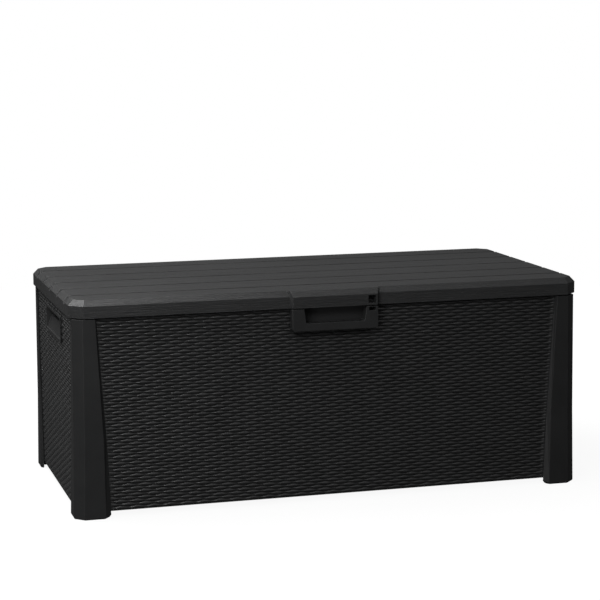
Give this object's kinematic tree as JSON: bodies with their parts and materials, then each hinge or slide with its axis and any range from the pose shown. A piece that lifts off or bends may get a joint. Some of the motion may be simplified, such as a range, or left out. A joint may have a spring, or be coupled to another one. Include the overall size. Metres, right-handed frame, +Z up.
{
  "type": "deck storage box",
  "caption": "Outdoor deck storage box in dark resin: woven-look walls in tapered corner posts, plank-topped hinged lid on gas struts, side hand recesses and padlock slots.",
  "frame": {"origin": "centre of the footprint, on the surface the feet stand on", "axes": "+X along the box's length, -Y out of the front with the lifting handle, +Z up"},
  "size_m": [1.45, 0.756, 0.595],
  "materials": {
    "woven_plastic": "moulded woven relief, satin",
    "frame_plastic": "fine moulded texture, satin",
    "lid_plastic": "moulded wood grain, satin",
    "inside_plastic": "smooth moulded, matte",
    "strut_paint": "gloss black paint",
    "strut_rod": "polished",
    "zinc_steel": "zinc plated"
  },
  "bodies": {
    "box": {"base_floor": "inside_plastic", "front_panel": "woven_plastic", "back_panel": "woven_plastic", "left_side_panel": "woven_plastic", "right_side_panel": "woven_plastic", "corner_post_front_left": "frame_plastic", "corner_post_front_right": "frame_plastic", "corner_post_back_left": "frame_plastic", "corner_post_back_right": "frame_plastic", "front_handle": "frame_plastic", "left_side_handle": "frame_plastic", "right_side_handle": "frame_plastic", "hinge_left_body_leaf": "frame_plastic", "hinge_left_pin": "zinc_steel", "hinge_left_body_screw_1": "zinc_steel", "hinge_left_body_screw_2": "zinc_steel", "hinge_centre_body_leaf": "frame_plastic", "hinge_centre_pin": "zinc_steel", "hinge_centre_body_screw_1": "zinc_steel", "hinge_centre_body_screw_2": "zinc_steel", "hinge_right_body_leaf": "frame_plastic", "hinge_right_pin": "zinc_steel", "hinge_right_body_screw_1": "zinc_steel", "hinge_right_body_screw_2": "zinc_steel", "left_strut_lower_bracket": "zinc_steel", "left_strut_lower_stud": "zinc_steel", "left_lower_bracket_screw_1": "zinc_steel", "left_lower_bracket_screw_2": "zinc_steel", "right_strut_lower_bracket": "zinc_steel", "right_strut_lower_stud": "zinc_steel", "right_lower_bracket_screw_1": "zinc_steel", "right_lower_bracket_screw_2": "zinc_steel"},
    "lid": {"lid_shell": "lid_plastic", "lid_inner_panel": "inside_plastic", "lid_brace_front": "zinc_steel", "lid_brace_rear": "zinc_steel", "hinge_left_lid_leaf": "frame_plastic", "hinge_left_lid_screw_1": "zinc_steel", "hinge_left_lid_screw_2": "zinc_steel", "hinge_centre_lid_leaf": "frame_plastic", "hinge_centre_lid_screw_1": "zinc_steel", "hinge_centre_lid_screw_2": "zinc_steel", "hinge_right_lid_leaf": "frame_plastic", "hinge_right_lid_screw_1": "zinc_steel", "hinge_right_lid_screw_2": "zinc_steel", "left_strut_upper_bracket": "zinc_steel", "left_strut_upper_stud": "zinc_steel", "left_upper_bracket_screw_1": "zinc_steel", "left_upper_bracket_screw_2": "zinc_steel", "right_strut_upper_bracket": "zinc_steel", "right_strut_upper_stud": "zinc_steel", "right_upper_bracket_screw_1": "zinc_steel", "right_upper_bracket_screw_2": "zinc_steel"},
    "left_cylinder": {"left_strut_cylinder": "strut_paint"},
    "left_rod": {"left_strut_rod": "strut_rod"},
    "right_cylinder": {"right_strut_cylinder": "strut_paint"},
    "right_rod": {"right_strut_rod": "strut_rod"}
  },
  "joints": [
    {"name": "lid_hinge", "type": "hinge", "parent": "box", "child": "lid", "pos_m": [0, 0.37, 0.541], "axis": [-1, 0, 0], "range_deg": [0, 85]},
    {"name": "left_cylinder_pivot", "type": "hinge", "parent": "box", "child": "left_cylinder", "pos_m": [-0.676, 0.27507, 0.32057], "axis": [-1, 0, 0], "range_deg": [0, 42.5]},
    {"name": "left_rod_pivot", "type": "hinge", "parent": "lid", "child": "left_rod", "pos_m": [-0.676, 0.1304, 0.55481], "axis": [-1, 0, 0], "range_deg": [-42.5, 0]},
    {"name": "right_cylinder_pivot", "type": "hinge", "parent": "box", "child": "right_cylinder", "pos_m": [0.676, 0.27507, 0.32057], "axis": [-1, 0, 0], "range_deg": [0, 42.5]},
    {"name": "right_rod_pivot", "type": "hinge", "parent": "lid", "child": "right_rod", "pos_m": [0.676, 0.1304, 0.55481], "axis": [-1, 0, 0], "range_deg": [-42.5, 0]}
  ],
  "couplings": [
    {"joint": "left_cylinder_pivot", "follows": "lid_hinge", "ratio": 0.5},
    {"joint": "left_rod_pivot", "follows": "lid_hinge", "ratio": -0.5},
    {"joint": "right_cylinder_pivot", "follows": "lid_hinge", "ratio": 0.5},
    {"joint": "right_rod_pivot", "follows": "lid_hinge", "ratio": -0.5}
  ]
}
